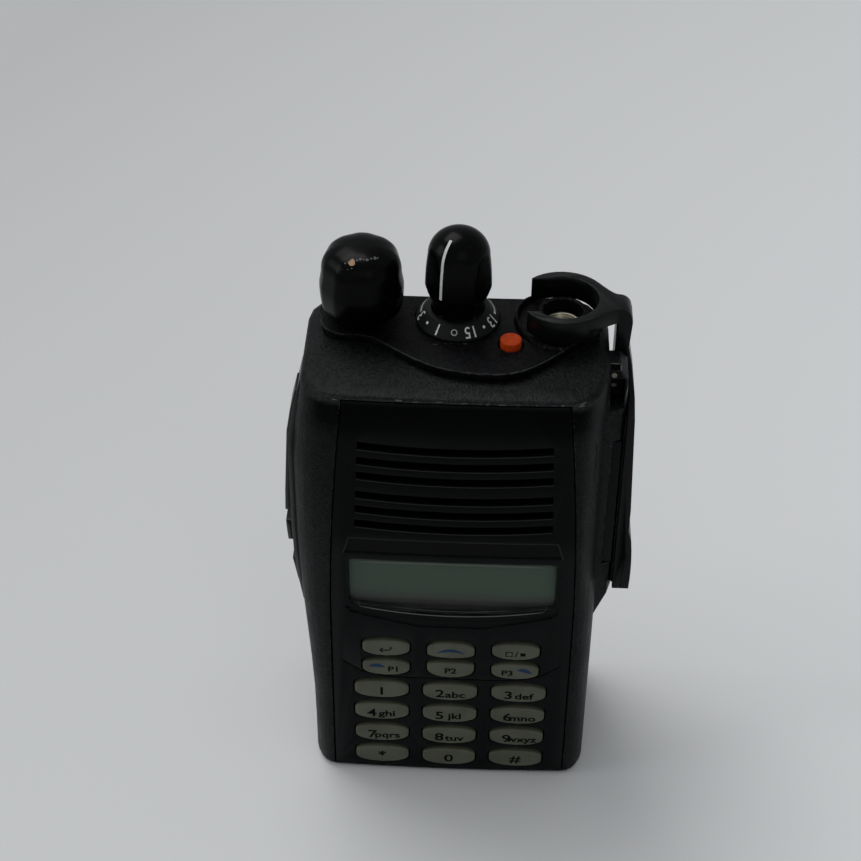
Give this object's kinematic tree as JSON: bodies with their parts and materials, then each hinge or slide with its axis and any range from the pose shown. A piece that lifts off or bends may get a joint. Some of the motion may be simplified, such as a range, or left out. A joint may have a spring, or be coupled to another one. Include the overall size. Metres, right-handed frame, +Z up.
{
  "type": "two way radio",
  "caption": "Compact handheld two way radio with a keypad, a display, rotary volume and channel knobs, side keys, an antenna socket with a hanging dust cover and a rear battery.",
  "frame": {"origin": "middle of the base of the whole object's box", "axes": "+Z up through the head, -Y out of the keypad, +X towards the accessory connector and its dust cover"},
  "size_m": [0.0662, 0.0336, 0.119],
  "materials": {
    "housing": "fine grained black moulding",
    "panel": "smooth satin black",
    "knob": "satin black, scuffed grey in use",
    "key": "satin grey green",
    "lens": "clear and polished",
    "rubber": "matt black elastomer",
    "brass": "plated and turned",
    "steel": "plain",
    "cast": "die cast",
    "circuit": "solder resist",
    "orange": "satin",
    "insulator": "moulded",
    "cell": "shrink wrapped",
    "cloth": "woven black",
    "cone": "pressed film"
  },
  "bodies": {
    "radio": {"front_panel": "panel", "front_housing": "housing", "display_lens": "lens", "display_module": "insulator", "keypad_mat": "rubber", "keypad_board": "circuit", "speaker_cloth": "cloth", "speaker_frame": "steel", "speaker_cone": "cone", "microphone": "steel", "main_board": "circuit", "chassis": "cast", "chassis_seal": "rubber", "chassis_screw_1": "steel", "chassis_screw_2": "steel", "chassis_screw_3": "steel", "chassis_screw_4": "steel", "chassis_contacts": "insulator", "top_panel": "panel", "dial_ring": "panel", "volume_control": "steel", "channel_switch": "steel", "emergency_switch": "insulator", "antenna_socket": "brass", "antenna_insulator": "insulator", "antenna_pin": "brass", "side_connector": "insulator", "side_strip": "rubber"},
    "key_star": {"key_star": "key"},
    "key_0": {"key_0": "key"},
    "key_hash": {"key_hash": "key"},
    "key_7": {"key_7": "key"},
    "key_8": {"key_8": "key"},
    "key_9": {"key_9": "key"},
    "key_4": {"key_4": "key"},
    "key_5": {"key_5": "key"},
    "key_6": {"key_6": "key"},
    "key_1": {"key_1": "key"},
    "key_2": {"key_2": "key"},
    "key_3": {"key_3": "key"},
    "nav_upper_left": {"nav_upper_left": "key"},
    "nav_upper_middle": {"nav_upper_middle": "key"},
    "nav_upper_right": {"nav_upper_right": "key"},
    "nav_lower_left": {"nav_lower_left": "key"},
    "nav_lower_middle": {"nav_lower_middle": "key"},
    "nav_lower_right": {"nav_lower_right": "key"},
    "talk_button": {"talk_button": "rubber"},
    "side_button_upper": {"side_button_upper": "rubber"},
    "side_button_lower": {"side_button_lower": "rubber"},
    "emergency_button": {"emergency_button": "orange"},
    "volume_knob": {"volume_knob": "knob"},
    "channel_knob": {"channel_knob": "knob"},
    "battery": {"battery_case": "housing", "battery_lid": "housing", "battery_cell_left": "cell", "battery_cell_right": "cell", "battery_contacts": "insulator"},
    "battery_latch": {"battery_latch": "panel"},
    "dust_cover": {"dust_cover": "rubber"}
  },
  "joints": [
    {"name": "key_star_press", "type": "slide", "parent": "radio", "child": "key_star", "axis": [0, 1, 0], "range_m": [0, 0.0006], "stiffness_N_per_m": 1000},
    {"name": "key_0_press", "type": "slide", "parent": "radio", "child": "key_0", "axis": [0, 1, 0], "range_m": [0, 0.0006], "stiffness_N_per_m": 1000},
    {"name": "key_hash_press", "type": "slide", "parent": "radio", "child": "key_hash", "axis": [0, 1, 0], "range_m": [0, 0.0006], "stiffness_N_per_m": 1000},
    {"name": "key_7_press", "type": "slide", "parent": "radio", "child": "key_7", "axis": [0, 1, 0], "range_m": [0, 0.0006], "stiffness_N_per_m": 1000},
    {"name": "key_8_press", "type": "slide", "parent": "radio", "child": "key_8", "axis": [0, 1, 0], "range_m": [0, 0.0006], "stiffness_N_per_m": 1000},
    {"name": "key_9_press", "type": "slide", "parent": "radio", "child": "key_9", "axis": [0, 1, 0], "range_m": [0, 0.0006], "stiffness_N_per_m": 1000},
    {"name": "key_4_press", "type": "slide", "parent": "radio", "child": "key_4", "axis": [0, 1, 0], "range_m": [0, 0.0006], "stiffness_N_per_m": 1000},
    {"name": "key_5_press", "type": "slide", "parent": "radio", "child": "key_5", "axis": [0, 1, 0], "range_m": [0, 0.0006], "stiffness_N_per_m": 1000},
    {"name": "key_6_press", "type": "slide", "parent": "radio", "child": "key_6", "axis": [0, 1, 0], "range_m": [0, 0.0006], "stiffness_N_per_m": 1000},
    {"name": "key_1_press", "type": "slide", "parent": "radio", "child": "key_1", "axis": [0, 1, 0], "range_m": [0, 0.0006], "stiffness_N_per_m": 1000},
    {"name": "key_2_press", "type": "slide", "parent": "radio", "child": "key_2", "axis": [0, 1, 0], "range_m": [0, 0.0006], "stiffness_N_per_m": 1000},
    {"name": "key_3_press", "type": "slide", "parent": "radio", "child": "key_3", "axis": [0, 1, 0], "range_m": [0, 0.0006], "stiffness_N_per_m": 1000},
    {"name": "nav_upper_left_press", "type": "slide", "parent": "radio", "child": "nav_upper_left", "axis": [0, 1, 0], "range_m": [0, 0.0006], "stiffness_N_per_m": 1000},
    {"name": "nav_upper_middle_press", "type": "slide", "parent": "radio", "child": "nav_upper_middle", "axis": [0, 1, 0], "range_m": [0, 0.0006], "stiffness_N_per_m": 1000},
    {"name": "nav_upper_right_press", "type": "slide", "parent": "radio", "child": "nav_upper_right", "axis": [0, 1, 0], "range_m": [0, 0.0006], "stiffness_N_per_m": 1000},
    {"name": "nav_lower_left_press", "type": "slide", "parent": "radio", "child": "nav_lower_left", "axis": [0, 1, 0], "range_m": [0, 0.0006], "stiffness_N_per_m": 1000},
    {"name": "nav_lower_middle_press", "type": "slide", "parent": "radio", "child": "nav_lower_middle", "axis": [0, 1, 0], "range_m": [0, 0.0006], "stiffness_N_per_m": 1000},
    {"name": "nav_lower_right_press", "type": "slide", "parent": "radio", "child": "nav_lower_right", "axis": [0, 1, 0], "range_m": [0, 0.0006], "stiffness_N_per_m": 1000},
    {"name": "talk_press", "type": "slide", "parent": "radio", "child": "talk_button", "axis": [1, 0, 0], "range_m": [0, 0.0008], "stiffness_N_per_m": 1500},
    {"name": "side_upper_press", "type": "slide", "parent": "radio", "child": "side_button_upper", "axis": [1, 0, 0], "range_m": [0, 0.0008], "stiffness_N_per_m": 1500},
    {"name": "side_lower_press", "type": "slide", "parent": "radio", "child": "side_button_lower", "axis": [1, 0, 0], "range_m": [0, 0.0008], "stiffness_N_per_m": 1500},
    {"name": "emergency_press", "type": "slide", "parent": "radio", "child": "emergency_button", "axis": [0, 0, -1], "range_m": [0, 0.0008], "stiffness_N_per_m": 1500},
    {"name": "volume_turn", "type": "hinge", "parent": "radio", "child": "volume_knob", "pos_m": [-0.01897, 0.00607, 0.105], "axis": [0, 0, 1], "range_deg": [-280, 0]},
    {"name": "channel_turn", "type": "hinge", "parent": "radio", "child": "channel_knob", "pos_m": [-0.00153, 0.00588, 0.105], "axis": [0, 0, 1], "range_deg": [-337.5, 0]},
    {"name": "battery_slide", "type": "slide", "parent": "radio", "child": "battery", "axis": [0, 0, 1], "range_m": [-0.01, 0]},
    {"name": "latch_slide", "type": "slide", "parent": "radio", "child": "battery_latch", "axis": [0, 1, 0], "range_m": [0, 0.0018]},
    {"name": "cover_pull", "type": "slide", "parent": "radio", "child": "dust_cover", "axis": [1, 0, 0], "range_m": [0, 0.012]}
  ]
}
